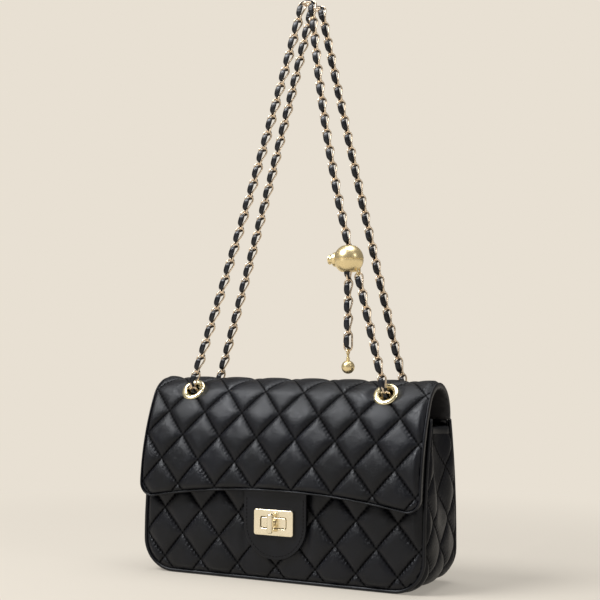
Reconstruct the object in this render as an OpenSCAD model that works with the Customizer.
// Chain shoulder bag: a quilted flap bag with a turn lock and a double chain strap.
// X runs along the width, the front faces -Y, Z is up and the bag stands on Z = 0.

/* [Body] */
// Width of the front and back panels between the side seams
panel_w = 247; // [220:1:280]
// Half depth of the bag at its belly, outside the padded panels
belly = 38.5; // [36:0.5:42]
// Height of the fullest point of the belly
belly_z = 32; // [26:1:38]
// Radius of the curve by which the panels lean towards the mouth
wall_r = 380; // [360:5:420]
// Thickness of the padded panels
panel_t = 4.5; // [3.5:0.1:5]
// Radius of the lower corners of the panels
corner_r = 24; // [14:1:34]
// Height of the front panel's upper edge
mouth_z = 134; // [124:1:135]
// How far below the mouth the back panel meets the flap
back_drop = 2; // [0:0.5:6]

/* [Gusset and lining] */
// Thickness of the gusset band
gusset_t = 3; // [2:0.1:4]
// How far the gusset stands proud of the panels at the seams
gusset_lip = 3.2; // [3.2:0.1:4]
// How far the gusset's upper edges at the sides stay below the mouth
gusset_drop = 8; // [8:1:16]
// How far the top of each side is drawn in between the panels
dish_in = 9; // [4:0.5:12]
// Radius of the drawn-in hollow
dish_r = 28; // [24:1:34]
// Height at which the hollow in the side fades out
dish_z = 56; // [40:1:80]
// Diameter of the piping in the seams
piping_d = 3; // [2:0.1:3]
// Thickness of the leather bindings
bind_t = 1.2; // [0.8:0.1:1.6]
// Height of the binding on the mouth and the gusset
bind_h = 6; // [4:0.5:9]
// Thickness of the lining
lining_t = 1.2; // [0.8:0.1:1.6]
// Thickness of the base board
board_t = 2; // [1.5:0.1:3]

/* [Flap] */
// How far the flap stands out beyond the panels at each side
flap_over = 2.5; // [1:0.5:6]
// Depth from the bag's middle to the flap's front
flap_reach = 47.2; // [46:0.2:50]
// Height at which the front of the flap hangs plumb
flap_plumb_z = 65; // [60:1:70]
// Radius of the arch over the mouth
arch_r = 27; // [26:0.5:29]
// Height of the flap's crown above the mouth
crown_rise = 29; // [27:0.5:32]
// Height of the flap's lower corners
flap_low = 63; // [55:1:75]
// Rise of the lower edge in its middle
flap_rise = 10.5; // [6:0.5:14]
// Radius of the flap's lower corners
flap_corner = 12; // [6:1:20]
// Thickness of the quilted outer leather
outer_t = 4.2; // [3:0.1:4.6]
// Thickness of the flap's lining
inner_t = 1.8; // [1:0.1:2]
// Width of the binding that shows on the flap's edge
edge_t = 1.5; // [1:0.1:2.5]

/* [Tongue and turn lock] */
// Width of the tongue
tongue_w = 56; // [46:1:70]
// Height of the tongue's lowest point
tongue_low = 18.7; // [14:0.5:26]
// Thickness of the tongue
tongue_t = 2.4; // [2:0.1:2.6]
// Height of the lock's axis
lock_z = 48.5; // [46:0.5:52]
// Length of the lock plate
plate_w = 35; // [32:0.5:40]
// Height of the lock plate
plate_h = 20.6; // [18:0.2:24]
// Thickness of the lock plate
plate_t = 2.5; // [2:0.1:3.2]
// Length of the slot in the plate
slot_w = 23.5; // [20:0.5:26]
// Height of the slot in the plate
slot_h = 9.3; // [8.5:0.1:11]
// Length of the toggle
toggle_l = 15.7; // [13:0.1:18]
// Width of the toggle
toggle_w = 4.7; // [4:0.1:5.6]
// How far the toggle stands in front of the plate
toggle_out = 7.5; // [6:0.1:9]
// Diameter of the toggle's post
post_d = 4; // [3:0.1:4.4]

/* [Eyelets] */
// Distance of each eyelet from the middle of the bag
eyelet_x = 88; // [70:1:100]
// Slope of the eyelets' axes above the level
eyelet_tilt = 40; // [36:1:42]
// Outer diameter of the eyelets
eyelet_d = 21; // [20:0.5:22]
// Bore of the eyelets
eyelet_bore = 11.6; // [11:0.2:12]
// Wall of the eyelets' barrels
barrel_t = 1.1; // [0.8:0.1:1.4]
// Depth of the flat pressed into the leather under an eyelet
press_in = 2; // [1.4:0.1:2.2]

/* [Chain] */
// Diameter of the chain wire
wire_d = 1.4; // [1.2:0.05:1.5]
// Width of a link from wire centre to wire centre
link_w = 6.7; // [6.2:0.1:7]
// Length of chain that each link adds
link_pitch = 14; // [13:0.1:15]
// Play between two links that hang in each other
link_play = 0.2; // [0.1:0.05:0.3]
// Height at which the strap is held up
strap_top = 476; // [430:2:500]
// How far the held point lies to the right of the middle
strap_side = 10; // [0:1:14]
// Distance between the two strands where they are held
strap_apart = 18; // [16:1:26]
// Width of the leather ribbon
ribbon_w = 5; // [4:0.1:5.2]
// Thickness of the leather ribbon
ribbon_t = 1.1; // [0.8:0.1:1.2]

/* [Ball and tail] */
// Diameter of the gold ball
ball_d = 24; // [23.5:0.1:26]
// Distance of the ball from the middle of the bag
ball_x = 54; // [48:1:60]
// Height of the ball's centre
ball_z = 260; // [240:1:300]
// Diameter of the passage for the chain
ball_bore = 9.6; // [9.4:0.1:10]
// Diameter of the button
button_d = 8; // [7:0.1:9]
// How far the button stands out of the ball
button_out = 5.4; // [4.5:0.1:7]
// Travel of the button
button_travel = 2.5; // [1.5:0.1:2.5]
// Number of links in the tail
tail_links = 4; // [3:1:4]
// Diameter of the end ball
end_ball_d = 10.7; // [9:0.1:12]

/* [Hidden] */

// Shared clearances and working lengths
gap = 0.3;
fit = 0.1;
over = 1;
fine = 96;
broad = 360;
bend_fn = 32;

// Colours of the finishes
leather = [0.12, 0.12, 0.13];
lining_colour = [0.16, 0.15, 0.16];
gold = [0.88, 0.74, 0.46];
plate_gold = [0.92, 0.84, 0.66];
link_gold = [0.9, 0.8, 0.66];

// Heights that go with the mouth
back_z = mouth_z - back_drop;
gusset_top = mouth_z - gusset_drop;
crown_z = mouth_z + crown_rise;
reach = 2 * (belly + flap_reach);
tall = 2 * crown_z;

// The panels' seam line stands on the piping, and the gusset reaches the floor
seam_z = gusset_lip;
half_w = panel_w / 2;
flap_w = panel_w + 2 * flap_over;
piping_out = piping_d / 2 + fit;
lining_top = gusset_top - bind_h - over;
board_w = panel_w - 2 * corner_r;
// Half depth inside the panels where the base board lies
board_half = belly - panel_t - (belly_z * belly_z) / (2 * wall_r) - 2 * gap;

// The flap follows two arcs: its front, and the arch over the mouth, which meet smoothly
flap_t = outer_t + inner_t;
arch_y = -3;
arch_z = crown_z - arch_r;
arch_front = flap_reach + arch_y;
flap_r = (pow(arch_front, 2) + pow(arch_z - flap_plumb_z, 2) - pow(arch_r, 2)) / (2 * (arch_front - arch_r));
front_y = flap_r - flap_reach;
join_a = atan2(arch_z - flap_plumb_z, arch_y - front_y);
hinge_a = 66;
cut_a = asin(gap / arch_r);
front_steps = 8;
arch_steps = 14;
back_steps = 8;
edge_steps = 12;
corner_steps = 8;

// Turn lock, from the panel outwards
lock_face = belly - pow(lock_z - belly_z, 2) / (2 * wall_r);
tongue_out = flap_reach - flap_t;
plate_out = tongue_out + plate_t;
boss_out = plate_out - 4 * fit;
flange_t = 1.4;
flange_w = 32;
flange_h = 16;
back_plate_t = 1;
back_plate_y = belly - panel_t - pow(lock_z - belly_z, 2) / (2 * wall_r);
lock_corner = 2;
rivet_r = 1;
rivet_x = 13;
prong_x = 14.5;
prong_z = 7.2;
collar_r = 3.6;
collar_t = 0.9;
toggle_tip = plate_out + toggle_out;

// The bag is moved so that the middle of the whole object's depth is at Y = 0
back_reach = belly;
mid_y = (toggle_tip - back_reach) / 2;

// Eyelets, measured from the arch's centre along their own axes
flat_r = arch_r - press_in;
bore_r = eyelet_bore / 2;
barrel_r = bore_r + barrel_t;
dome_r = (eyelet_d / 2 - bore_r) / 2;
dome_mid = bore_r + dome_r;
washer_r = dome_mid + dome_r - over;
washer_t = 1;
washer_in = sqrt(pow(arch_r - flap_t, 2) - pow(washer_r, 2)) - fit;
hook_clear = 4;
hook_out = flat_r + hook_clear;
// Where the inner links lie against the washers
flat_in = washer_in - washer_t - gap - wire_d / 2;

// Chain links
wire_r = wire_d / 2;
bow_r = link_w / 2;
hook = wire_r + link_play / 2;
ring_r = bow_r + wire_r + gap;
twist = 45;
bead_r = 1.25 * wire_r;
front_hook = [0, arch_y - hook_out * cos(eyelet_tilt), arch_z + hook_out * sin(eyelet_tilt)];
rear_hook = [0, arch_y + hook_out * cos(eyelet_tilt), arch_z + hook_out * sin(eyelet_tilt)];
front_top = [strap_side, -strap_apart / 2, strap_top];
rear_top = [strap_side, strap_apart / 2, strap_top];
// How far each strand is drawn in from a straight line, as a share of its width
left_draw_share = 0.03;
right_draw_share = 0.05;
rear_draw_share = 0.015;

// The ball hangs in the plane of the front strand
ball_r = ball_d / 2;
ball_share = (ball_z - front_hook[2]) / (front_top[2] - front_hook[2]);
ball_y = front_hook[1] + (front_top[1] - front_hook[1]) * ball_share;
tail_drop = 5;
tail_top = ball_z - ball_r - tail_drop;
ball_at = [ball_x, ball_y, ball_z];
bail_x = 8.6;
bail_w = 4.8;
bail_d = 1.6;
bail_rise = 1.5;
bail_drop = ball_r - bail_rise;
bail_in = 6;
bail_bottom = bail_drop + bail_w / 2;
slot_half = bow_r + wire_r + 4 * fit;
frame_t = 4;
frame_wall = 1.2;
frame_w = 2 * (slot_half + frame_wall);
chain_half = bow_r * cos(twist) + wire_r + gap;
button_tip = ball_r + button_out;
collar_d = 12;
knob_in = ball_r - over + button_travel + gap;
stem_d = 6;
spring_d = 4.4;
spring_wire = 0.6;
spring_turns = 4;
spring_room = 3;
eye_r = 2.2;
neck_l = 5;

// Ribbon woven through one link: shares of the pitch, of the link's half width, and of the
// ribbon's width, with the slope of the path in degrees
weave_shares = [
    [0, -0.93, 0.5, 0],
    [0.12, -0.68, 0.5, 50],
    [0.3, 0.62, 0.58, 50],
    [0.5, 0.75, 1, 0],
    [0.7, 0.62, 0.58, -50],
    [0.88, -0.68, 0.5, -50]
];

function unit(v) = v / norm(v);
function flip(list) = [for (i = [len(list) - 1:-1:0]) list[i]];

// A point on the flap's front arc and on its arch, at a depth under the outer face
function front_point(a, depth) = [
    front_y + (flap_r - depth) * cos(a),
    flap_plumb_z + (flap_r - depth) * sin(a)
];
function arch_point(a, depth) = [arch_y + (arch_r - depth) * cos(a), arch_z + (arch_r - depth) * sin(a)];
function flap_line(depth, low) = concat(
    [[depth - flap_reach, low]],
    [for (i = [0:front_steps]) front_point(180 - i * (180 - join_a) / front_steps, depth)],
    [for (i = [1:arch_steps]) arch_point(join_a - i * (join_a - hinge_a) / arch_steps, depth)]
);
function back_line(depth) = concat(
    [for (i = [0:back_steps]) arch_point((hinge_a - cut_a) * (1 - i / back_steps), depth)],
    [[arch_y + arch_r - depth, back_z]]
);

// The lower edge of the flap and its rounded corners
edge_half = flap_w / 2 - flap_corner;
edge_r = (edge_half * edge_half + flap_rise * flap_rise) / (2 * flap_rise);
function edge_z(x) = flap_low + flap_rise - (edge_r - sqrt(edge_r * edge_r - x * x));
function flap_corner_points(side, inset) = [
    for (i = [0:corner_steps])
        let (a = -90 * i / corner_steps, r = flap_corner - inset)
        [side * (edge_half + r * cos(a)), flap_low + flap_corner + r * sin(a)]
];
function flap_shape(inset) = concat(
    [[flap_w / 2 - inset, tall]],
    flap_corner_points(1, inset),
    [for (i = [1:edge_steps - 1]) let (x = edge_half * (1 - 2 * i / edge_steps)) [x, edge_z(x) + inset]],
    flip(flap_corner_points(-1, inset)),
    [[inset - flap_w / 2, tall]]
);

// Extrusions across the bag's depth and along its width
module across(depth, y = 0) {
    translate([0, y, 0]) rotate([90, 0, 0]) linear_extrude(height = depth, center = true) children();
}
module along(width) {
    rotate([90, 0, 90]) linear_extrude(height = width, center = true) children();
}
module slab(z_from, z_to) {
    translate([0, 0, (z_from + z_to) / 2]) cube([2 * panel_w, 2 * reach, z_to - z_from], center = true);
}
module rounded(w, h, r) {
    square([w - 2 * r, h], center = true);
    square([w, h - 2 * r], center = true);
    for (x = [-1, 1], y = [-1, 1]) translate([x * (w / 2 - r), y * (h / 2 - r)]) circle(r = r, $fn = fine);
}

// The outline of the body, grown outwards, up to a height
module pouch(grow, top) {
    low = seam_z + corner_r;
    translate([-half_w - grow, low]) square([panel_w + 2 * grow, top - low]);
    translate([-half_w + corner_r, seam_z - grow]) square([board_w, corner_r + grow + over]);
    for (side = [-1, 1]) translate([side * (half_w - corner_r), low]) circle(r = corner_r + grow, $fn = fine);
}
// Everything behind the curve of the front wall (side -1) or before the back wall (side 1)
module wall(side, depth) {
    translate([0, -side * (wall_r - belly), belly_z]) rotate([0, 90, 0])
        cylinder(r = wall_r - depth, h = 2 * panel_w, center = true, $fn = broad);
}
module panel(side, top) {
    intersection() {
        across(reach, side * reach / 2) pouch(0, top);
        difference() {
            wall(side, 0);
            wall(side, panel_t);
        }
    }
}
// The room between the panels, with the hollows at the tops of its sides
module room(grow, depth, top) {
    lean = atan(dish_in / (gusset_top - dish_z));
    difference() {
        intersection() {
            across(2 * reach) pouch(grow, top);
            wall(-1, depth);
            wall(1, depth);
        }
        for (side = [-1, 1])
            translate([side * (half_w + gusset_lip + dish_r - dish_in), 0, gusset_top])
                rotate([0, -side * lean, 0])
                    cylinder(r = dish_r + gusset_lip - grow, h = 3 * dish_z, center = true, $fn = fine);
    }
}

// A solid along rings of points, all with the same number of points
module sweep(rings) {
    count = len(rings[0]);
    last = len(rings) - 1;
    function at(i, j) = i * count + j % count;
    polyhedron(
        points = [for (ring = rings) each ring],
        faces = concat(
            [for (i = [0:last - 1], j = [0:count - 1]) [at(i, j), at(i + 1, j), at(i, j + 1)]],
            [for (i = [0:last - 1], j = [0:count - 1]) [at(i, j + 1), at(i + 1, j), at(i + 1, j + 1)]],
            [for (j = [1:count - 2]) [0, j, j + 1]],
            [for (j = [1:count - 2]) [last * count, last * count + j + 1, last * count + j]]
        ),
        convexity = 10
    );
}

function round_ring(middle, r, u, v, sides) = [
    for (j = [0:sides - 1])
        let (a = 360 * j / sides)
        middle + r * (u * cos(a) + v * sin(a))
];

// Piping: its middle line follows the seam round the outline, and the wall's curve in depth
seam_steps = 8;
function seam_depth(z) = wall_r - belly - sqrt(pow(wall_r - panel_t + piping_out, 2) - pow(z - belly_z, 2));
function seam_turn(x, z, start) = [
    for (i = [0:corner_steps])
        let (a = start + 90 * i / corner_steps, r = corner_r + piping_out)
        [x + r * cos(a), z + r * sin(a)]
];
function seam_line(top) = let (low = seam_z + corner_r) concat(
    [for (i = [0:seam_steps - 1]) [-half_w - piping_out, top - (top - low) * i / seam_steps]],
    seam_turn(corner_r - half_w, low, 180),
    seam_turn(half_w - corner_r, low, 270),
    [for (i = [1:seam_steps]) [half_w + piping_out, low + (top - low) * i / seam_steps]]
);
module piping(side, top) {
    line = [for (p = seam_line(top)) [p[0], -side * seam_depth(p[1]), p[1]]];
    last = len(line) - 1;
    sides = 8;
    rings = [
        for (i = [0:last])
            let (
                t = unit(line[min(i + 1, last)] - line[max(i - 1, 0)]),
                u = unit(cross(t, [0, 1, 0])),
                v = cross(t, u)
            )
            round_ring(line[i], piping_d / 2, u, v, sides)
    ];
    sweep(rings);
}

module front_panel() {
    color(leather) difference() {
        panel(-1, mouth_z);
        lock_pocket();
    }
}
module back_panel() {
    color(leather) panel(1, back_z);
}
module gusset() {
    color(leather) difference() {
        room(gusset_lip, panel_t + fit, gusset_top);
        room(gusset_lip - gusset_t, panel_t - over, gusset_top + over);
    }
}
module front_piping() {
    color(leather) piping(-1, mouth_z);
}
module back_piping() {
    color(leather) piping(1, back_z - 2 * gap);
}
module mouth_binding() {
    color(leather) intersection() {
        across(reach, -reach / 2) translate([-half_w + bind_t, mouth_z - bind_h])
            square([panel_w - 2 * bind_t, bind_h + bind_t]);
        difference() {
            wall(-1, -bind_t);
            wall(-1, panel_t + bind_t);
            intersection() {
                slab(0, mouth_z);
                difference() {
                    wall(-1, -fit);
                    wall(-1, panel_t + fit);
                }
            }
        }
    }
}
module gusset_binding() {
    color(leather) intersection() {
        slab(gusset_top - bind_h, gusset_top + bind_t);
        difference() {
            room(gusset_lip + bind_t, panel_t + 2 * bind_t, gusset_top + bind_t);
            room(gusset_lip - gusset_t - bind_t, 0, tall);
            difference() {
                room(gusset_lip + fit, 0, gusset_top);
                room(gusset_lip - gusset_t - fit, -over, tall);
            }
        }
    }
}
module lining() {
    inset = gusset_lip - gusset_t - 2 * fit;
    floor_z = gusset_t + board_t + fit;
    color(lining_colour) difference() {
        intersection() {
            room(inset, panel_t + 4 * fit, lining_top);
            slab(floor_z, lining_top);
        }
        intersection() {
            room(inset - lining_t, panel_t + 4 * fit + lining_t, tall);
            slab(floor_z + lining_t, tall);
        }
    }
}
module base_board() {
    color([0.3, 0.28, 0.25]) translate([0, 0, gusset_t + board_t / 2])
        cube([board_w, 2 * board_half, board_t], center = true);
}

// Turn lock on the front panel
module lock_bar(y_from, y_to) {
    translate([0, -(y_from + y_to) / 2, lock_z]) across(y_to - y_from) children();
}
module flange(grow) {
    rounded(flange_w + 2 * grow, flange_h + 2 * grow, lock_corner);
}
module rivet_spots(r) {
    for (x = [-1, 1]) translate([x * rivet_x, 0]) circle(r = r, $fn = fine);
}
module lock_pocket() {
    lock_bar(lock_face - flange_t, lock_face + over) flange(fit);
    lock_bar(back_plate_y - over, back_plate_y + back_plate_t) flange(fit);
    lock_bar(back_plate_y, lock_face) circle(r = collar_r + gap, $fn = fine);
    lock_bar(back_plate_y, lock_face) rivet_spots(rivet_r + fit);
}
module lock_base() {
    color(gold) difference() {
        union() {
            lock_bar(lock_face - flange_t, lock_face) flange(0);
            lock_bar(lock_face - over / 2, boss_out) rounded(slot_w - 6 * fit, slot_h - 6 * fit, lock_corner);
        }
        lock_bar(lock_face - panel_t, boss_out + over) circle(d = post_d + 2 * fit, $fn = fine);
    }
}
module lock_back_plate() {
    color(gold) lock_bar(back_plate_y - fit, back_plate_y + back_plate_t - fit) flange(0);
}
module lock_rivets() {
    color(gold) lock_bar(back_plate_y + back_plate_t - fit, lock_face - flange_t) rivet_spots(rivet_r);
}
module turn_knob() {
    seat = lock_face - flange_t - fit;
    mid = toggle_tip - toggle_w / 2;
    half_l = (toggle_l - toggle_w) / 2;
    color(gold) {
        lock_bar(seat - collar_t, mid) circle(d = post_d, $fn = fine);
        lock_bar(seat - collar_t, seat) circle(r = collar_r, $fn = fine);
        lock_bar(mid - toggle_w / 2, mid) rounded(toggle_w, toggle_l, toggle_w / 2 - fit);
        translate([0, -mid, lock_z]) cylinder(d = toggle_w, h = 2 * half_l, center = true, $fn = fine);
        for (end = [-1, 1]) translate([0, -mid, lock_z + end * half_l]) sphere(d = toggle_w, $fn = fine);
    }
}

// Flap: a strip between two depths under its outer face, cut to the flap's shape
module flap_strip(from_depth, to_depth) {
    along(flap_w) polygon(concat(flap_line(from_depth, 0), flip(flap_line(to_depth, 0))));
}
module flap_sheet(from_depth, to_depth) {
    intersection() {
        flap_strip(from_depth, to_depth);
        across(2 * reach) polygon(flap_shape(edge_t));
    }
}
module back_strip(from_depth, to_depth, width) {
    along(width) polygon(concat(back_line(from_depth), flip(back_line(to_depth))));
}
// Places its children with Z out along an eyelet's axis, from the arch's centre
module at_eyelet(side) {
    for (x = [-1, 1])
        translate([x * eyelet_x, arch_y, arch_z]) rotate([-side * (90 - eyelet_tilt), 0, 0]) children();
}
module eyelet_hole(side) {
    at_eyelet(side) {
        translate([0, 0, washer_in - over]) cylinder(r = barrel_r + fit, h = arch_r, $fn = fine);
        translate([0, 0, flat_r]) cylinder(r = dome_mid + dome_r + fit, h = arch_r, $fn = fine);
    }
}
module eyelet(side) {
    at_eyelet(side) {
        intersection() {
            translate([0, 0, flat_r]) rotate_extrude($fn = fine)
                translate([dome_mid, 0]) circle(r = dome_r, $fn = bend_fn);
            translate([0, 0, flat_r]) cylinder(r = 2 * dome_mid, h = 2 * dome_r, $fn = fine);
        }
        difference() {
            translate([0, 0, washer_in - washer_t - fit])
                cylinder(r = barrel_r, h = flat_r - washer_in + washer_t + 2 * fit, $fn = fine);
            cylinder(r = bore_r, h = 2 * arch_r, $fn = fine);
        }
    }
}
module eyelet_washer(side) {
    at_eyelet(side) translate([0, 0, washer_in - washer_t]) difference() {
        cylinder(r = washer_r, h = washer_t, $fn = fine);
        translate([0, 0, -over]) cylinder(r = barrel_r + fit, h = washer_t + 2 * over, $fn = fine);
    }
}
module flap_outer() {
    color(leather) difference() {
        flap_sheet(0, outer_t);
        eyelet_hole(-1);
    }
}
module flap_lining() {
    color(lining_colour) difference() {
        flap_sheet(outer_t, flap_t);
        eyelet_hole(-1);
    }
}
module flap_binding() {
    color(leather) intersection() {
        flap_strip(0, flap_t);
        across(2 * reach) difference() {
            polygon(flap_shape(0));
            polygon(flap_shape(edge_t));
        }
    }
}
module flap_back() {
    color(leather) difference() {
        back_strip(0, outer_t, flap_w);
        eyelet_hole(1);
    }
}
module flap_back_lining() {
    color(lining_colour) difference() {
        back_strip(outer_t, flap_t, flap_w);
        eyelet_hole(1);
    }
}
module tongue() {
    tip = tongue_w / 2;
    color(leather) difference() {
        intersection() {
            flap_strip(flap_t, flap_t + tongue_t);
            across(2 * reach) {
                translate([-tip, tongue_low + tip]) square([tongue_w, flap_plumb_z + tip - tongue_low]);
                translate([0, tongue_low + tip]) circle(r = tip, $fn = fine);
            }
        }
        lock_bar(tongue_out - 2 * tongue_t, tongue_out + over) rounded(slot_w, slot_h, lock_corner);
        prongs(tongue_out - 2 * tongue_t, tongue_out + over, rivet_r + fit);
    }
}
module prongs(y_from, y_to, r) {
    lock_bar(y_from, y_to) for (x = [-1, 1], z = [-1, 1])
        translate([x * prong_x, z * prong_z]) circle(r = r, $fn = fine);
}
module lock_plate() {
    bevel = 4 * fit;
    color(plate_gold) {
        difference() {
            union() {
                lock_bar(tongue_out, plate_out - bevel) rounded(plate_w, plate_h, lock_corner);
                lock_bar(tongue_out, plate_out)
                    rounded(plate_w - 2 * bevel, plate_h - 2 * bevel, lock_corner);
            }
            lock_bar(tongue_out - over, plate_out + over) rounded(slot_w, slot_h, lock_corner);
        }
        prongs(tongue_out - tongue_t + fit, tongue_out + over / 2, rivet_r);
    }
}

// Chain: a link hangs between two joints, with each end bow turned about the link's axis
module wire(from, to) {
    run = to - from;
    translate(from) rotate([0, acos(run[2] / norm(run)), atan2(run[1], run[0])])
        cylinder(r = wire_r, h = norm(run), $fn = bend_fn);
}
module half_bow(width_r, thick_r) {
    rotate_extrude(angle = 180, $fn = bend_fn) translate([width_r, 0]) circle(r = thick_r, $fn = bend_fn);
}
module link_on_axis(span, roll_from, roll_to) {
    z_from = bow_r - hook;
    z_to = span + hook - bow_r;
    translate([0, 0, z_from]) rotate([0, 0, roll_from]) rotate([-90, 0, 0]) half_bow(bow_r, wire_r);
    translate([0, 0, z_to]) rotate([0, 0, roll_to]) rotate([90, 0, 0]) half_bow(bow_r, wire_r);
    // Each shoulder, where a leg turns out of a bow, is a small bead
    for (side = [-1, 1]) {
        from = [side * bow_r * cos(roll_from), side * bow_r * sin(roll_from), z_from];
        to = [side * bow_r * cos(roll_to), side * bow_r * sin(roll_to), z_to];
        start = wire_r / 2 * unit(to - from);
        wire(from + start, to - start);
        translate(from) sphere(r = bead_r, $fn = bend_fn);
        translate(to) sphere(r = bead_r, $fn = bend_fn);
    }
}
// Directions at a link: across the strap, towards the front, and along the link
function link_across(t) = unit(cross([0, -1, 0], t));
module place_on(from, t) {
    b = link_across(t);
    n = cross(t, b);
    multmatrix([
        [b[0], n[0], t[0], from[0]],
        [b[1], n[1], t[1], from[1]],
        [b[2], n[2], t[2], from[2]],
        [0, 0, 0, 1]
    ]) children();
}
module link(from, to, roll_from, roll_to) {
    place_on(from, unit(to - from)) link_on_axis(norm(to - from), roll_from, roll_to);
}
module chain(joints, first_roll, last_roll) {
    last = len(joints) - 2;
    for (i = [0:last])
        link(joints[i], joints[i + 1], i == 0 ? first_roll : twist, i == last ? last_roll : -twist);
}
// Joints of a strand between two points, drawn sideways by an arc
function strand(from, to, draw, count) = [
    for (i = [0:count]) let (u = i / count) from + (to - from) * u + [4 * draw * u * (1 - u), 0, 0]
];
function links_in(from, to) = max(2, round(norm(to - from) / link_pitch));
// The joint beside a wire that a strand hangs from, or ends on
function below_wire(at, to, wire_radius) = at - unit(to - at) * (wire_radius + link_play / 2);
function at_x(point, x) = [x, point[1], point[2]];

// Ribbon woven along a strand's joints
function weave_ring(from, to, row) = let (
    t = unit(to - from), b = link_across(t), n = cross(t, b),
    m = n * cos(row[3]) - t * sin(row[3]),
    mid = from + (to - from) * row[0] + n * (bow_r * row[1]),
    w = b * ribbon_w / 2 * row[2], h = m * ribbon_t / 2
) [mid - w - h, mid + w - h, mid + w + h, mid - w + h];
module ribbon(joints, first_row) {
    last = len(joints) - 2;
    sweep(concat(
        [for (k = [first_row:5]) weave_ring(joints[0], joints[1], weave_shares[k])],
        [for (i = [1:last - 1], k = [0:5]) weave_ring(joints[i], joints[i + 1], weave_shares[k])],
        [weave_ring(joints[last], joints[last + 1], weave_shares[0])]
    ));
}

// The joints of every strand
function side_strand(top, foot, side, draw_share) = let (
    start = top + [side * ring_r, 0, 0],
    end = at_x(foot, side * eyelet_x),
    t = unit(end - start),
    from = start - t * hook,
    to = end + t * hook
) strand(from, to, side * -draw_share * eyelet_x, links_in(from, to));
front_left_joints = side_strand(front_top, front_hook, -1, left_draw_share);
rear_left_joints = side_strand(rear_top, rear_hook, -1, rear_draw_share);
rear_right_joints = side_strand(rear_top, rear_hook, 1, rear_draw_share);
ball_entry = [ball_x, ball_y, tail_top + 2 * link_pitch];
ball_exit = [ball_x, ball_y, tail_top];
right_start = front_top + [ring_r, 0, 0];
right_from = right_start - unit(ball_entry - right_start) * hook;
front_right_joints = concat(
    strand(right_from, ball_entry, -right_draw_share * eyelet_x, links_in(right_from, ball_entry)),
    [(ball_entry + ball_exit) / 2, ball_exit]
);
bail_at = ball_at + [bail_x, 0, -bail_bottom];
lower_end = at_x(front_hook, eyelet_x);
lower_from = below_wire(bail_at, lower_end, bail_d / 2);
lower_to = lower_end + unit(lower_end - bail_at) * hook;
front_lower_joints = strand(lower_from, lower_to, 0, links_in(lower_from, lower_to));
tail_joints = [for (i = [0:tail_links]) ball_exit - [0, 0, i * link_pitch]];

// A flat link runs through each eyelet, and one more lies flat against the washer inside
module eyelet_links(point, side) {
    for (dir = [-1, 1]) {
        inward = [0, -side * cos(eyelet_tilt), -sin(eyelet_tilt)];
        from = at_x(point, -dir * eyelet_x) + inward * hook;
        to = from + inward * (hook_out - flat_in);
        link(from, to, 0, 0);
        turn = to - inward * hook;
        link(turn, turn + [dir * link_pitch, 0, 0], side * dir * eyelet_tilt, side * dir * eyelet_tilt);
    }
}
module front_eyelet_links() {
    color(link_gold) eyelet_links(front_hook, -1);
}
module rear_eyelet_links() {
    color(link_gold) eyelet_links(rear_hook, 1);
}
module rear_eyelets() {
    color(gold) eyelet(1);
}
module rear_eyelet_washers() {
    color(gold) eyelet_washer(1);
}
module front_eyelets() {
    color(gold) eyelet(-1);
}
module front_eyelet_washers() {
    color(gold) eyelet_washer(-1);
}
module top_ring(at) {
    color(link_gold) translate(at) rotate_extrude($fn = 2 * bend_fn)
        translate([ring_r, 0]) circle(r = wire_r, $fn = bend_fn);
}
module front_top_ring() {
    top_ring(front_top);
}
module rear_top_ring() {
    top_ring(rear_top);
}
module front_left_chain() {
    color(link_gold) chain(front_left_joints, 0, 2 * twist);
}
module front_left_ribbon() {
    color(leather) ribbon(front_left_joints, 4);
}
module front_right_chain() {
    color(link_gold) chain(front_right_joints, 0, 2 * twist);
}
module front_right_ribbon() {
    color(leather) ribbon(front_right_joints, 4);
}
module front_lower_chain() {
    color(link_gold) chain(front_lower_joints, 0, 2 * twist);
}
module front_lower_ribbon() {
    color(leather) ribbon(front_lower_joints, 2);
}
module rear_left_chain() {
    color(link_gold) chain(rear_left_joints, 0, 2 * twist);
}
module rear_left_ribbon() {
    color(leather) ribbon(rear_left_joints, 4);
}
module rear_right_chain() {
    color(link_gold) chain(rear_right_joints, 0, 2 * twist);
}
module rear_right_ribbon() {
    color(leather) ribbon(rear_right_joints, 4);
}
module tail_chain() {
    color(link_gold) chain(tail_joints, 0, 0);
}
module tail_ribbon() {
    color(leather) ribbon(tail_joints, 2);
}
module end_ball() {
    eye_z = -hook + eye_r;
    neck_z = eye_z + eye_r + neck_l;
    color(gold) place_on(tail_joints[tail_links], [0, 0, -1]) {
        translate([0, 0, eye_z]) rotate([0, 90, 0]) rotate_extrude($fn = bend_fn)
            translate([eye_r, 0]) circle(r = wire_r, $fn = bend_fn);
        translate([0, 0, eye_z + eye_r]) cylinder(r = wire_r + gap, h = neck_l, $fn = bend_fn);
        translate([0, 0, neck_z - neck_l / 2]) cylinder(r = 2 * wire_r, h = neck_l / 2, $fn = fine);
        translate([0, 0, neck_z + end_ball_d / 2 - gap]) sphere(d = end_ball_d, $fn = fine);
    }
}

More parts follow.
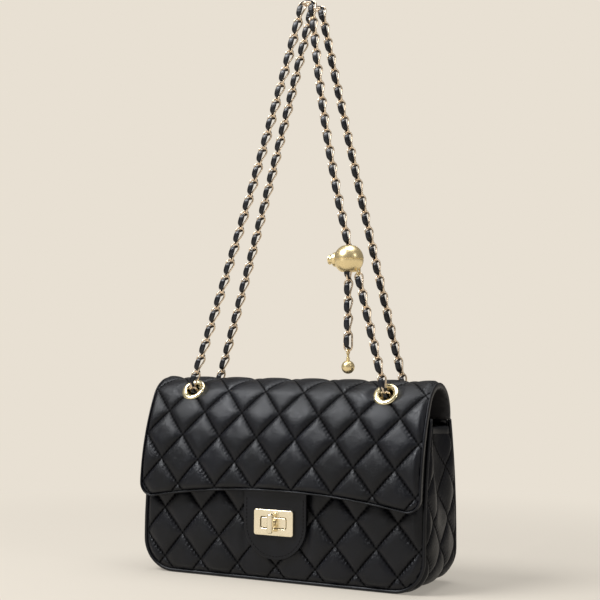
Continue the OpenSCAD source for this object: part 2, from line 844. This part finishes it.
// Ball: two shells round the chain's passage and the button's grip
module ball_hollow() {
    frame_end = slot_half + frame_wall + button_travel;
    room_in = frame_end + gap;
    cylinder(d = ball_bore, h = 2 * ball_d, center = true, $fn = fine);
    translate([0, 0, -ball_r]) cylinder(r = ball_bore / 2 + over, h = 2.5 * over, $fn = fine);
    translate([(room_in - frame_end) / 2, 0, 0])
        cube([room_in + frame_end, frame_w + 2 * gap, frame_t + 2 * gap], center = true);
    translate([-ball_d, 0, 0]) rotate([0, 90, 0]) {
        cylinder(d = stem_d + 2 * gap, h = ball_d, $fn = fine);
        cylinder(d = collar_d, h = ball_d - ball_r + over, $fn = fine);
    }
    rotate([0, 90, 0]) cylinder(d = spring_d + 2 * fit, h = room_in + spring_room, $fn = fine);
    bail_body(bail_d / 2 + fit);
}
module ball_half(side) {
    translate(ball_at) difference() {
        intersection() {
            sphere(d = ball_d, $fn = fine);
            translate([0, 0, side * ball_r]) cube([2 * ball_d, 2 * ball_d, ball_d], center = true);
        }
        ball_hollow();
    }
}
module bail_body(r) {
    translate([bail_x, 0, -bail_drop]) {
        rotate([0, 0, 90]) rotate([-90, 0, 0]) half_bow(bail_w / 2, r);
        for (side = [-1, 1])
            translate([0, side * bail_w / 2, 0]) cylinder(r = r, h = bail_drop - bail_in, $fn = bend_fn);
    }
}
module ball_upper_half() {
    color(gold) ball_half(1);
}
module ball_lower_half() {
    color(gold) ball_half(-1);
}
module ball_bail() {
    color(gold) translate(ball_at) bail_body(bail_d / 2);
}
module ball_collar() {
    color(gold) translate(ball_at + [-ball_r + over, 0, 0]) rotate([0, -90, 0]) difference() {
        cylinder(d = collar_d - 2 * fit, h = 2 * over, $fn = fine);
        translate([0, 0, -over]) cylinder(d = button_d + 2 * fit, h = 4 * over, $fn = fine);
    }
}
module slider_button() {
    // The slot lets the chain pass at rest and with the button pressed
    slot_from = chain_half + button_travel;
    slot_to = chain_half;
    color(gold) translate(ball_at) {
        translate([-button_tip, 0, 0]) rotate([0, 90, 0])
            cylinder(d = button_d, h = button_tip - knob_in, $fn = fine);
        translate([-knob_in - over, 0, 0]) rotate([0, 90, 0])
            cylinder(d = stem_d, h = knob_in + over - slot_from - frame_wall / 2, $fn = fine);
        difference() {
            translate([(slot_to - slot_from) / 2, 0, 0])
                cube([slot_to + slot_from + 2 * frame_wall, frame_w, frame_t], center = true);
            translate([(slot_to - slot_from) / 2, 0, 0])
                cube([slot_to + slot_from, 2 * slot_half, 2 * frame_t], center = true);
        }
    }
}
module slider_spring() {
    from = chain_half + frame_wall + fit;
    to = slot_half + frame_wall + button_travel + gap + spring_room - fit;
    steps = 12;
    sides = 6;
    turns = spring_turns * steps;
    coil_r = (spring_d - spring_wire) / 2 - fit;
    function coil(i) = [
        from + spring_wire / 2 + (to - from - spring_wire) * i / turns,
        coil_r * cos(360 * i / steps), coil_r * sin(360 * i / steps)
    ];
    color("silver") translate(ball_at) sweep([
        for (i = [0:turns])
            let (
                t = unit(coil(i + 1) - coil(i - 1)),
                u = unit([0, cos(360 * i / steps), sin(360 * i / steps)]),
                v = cross(t, u)
            )
            round_ring(coil(i), spring_wire / 2, u, v, sides)
    ]);
}
// Moves a piece so that the whole object's depth is centred
module seat() {
    translate([0, mid_y, 0]) children();
}

seat() front_panel();
seat() back_panel();
seat() gusset();
seat() front_piping();
seat() back_piping();
seat() mouth_binding();
seat() gusset_binding();
seat() lining();
seat() base_board();
seat() lock_base();
seat() lock_back_plate();
seat() lock_rivets();
seat() flap_back();
seat() flap_back_lining();
seat() rear_eyelets();
seat() rear_eyelet_washers();
seat() rear_eyelet_links();
seat() flap_outer();
seat() flap_lining();
seat() flap_binding();
seat() tongue();
seat() lock_plate();
seat() front_eyelets();
seat() front_eyelet_washers();
seat() front_eyelet_links();
seat() turn_knob();
seat() front_left_chain();
seat() front_left_ribbon();
seat() front_right_chain();
seat() front_right_ribbon();
seat() front_lower_chain();
seat() front_lower_ribbon();
seat() ball_upper_half();
seat() ball_lower_half();
seat() ball_bail();
seat() ball_collar();
seat() slider_spring();
seat() slider_button();
seat() tail_chain();
seat() tail_ribbon();
seat() end_ball();
seat() front_top_ring();
seat() rear_top_ring();
seat() rear_left_chain();
seat() rear_left_ribbon();
seat() rear_right_chain();
seat() rear_right_ribbon();
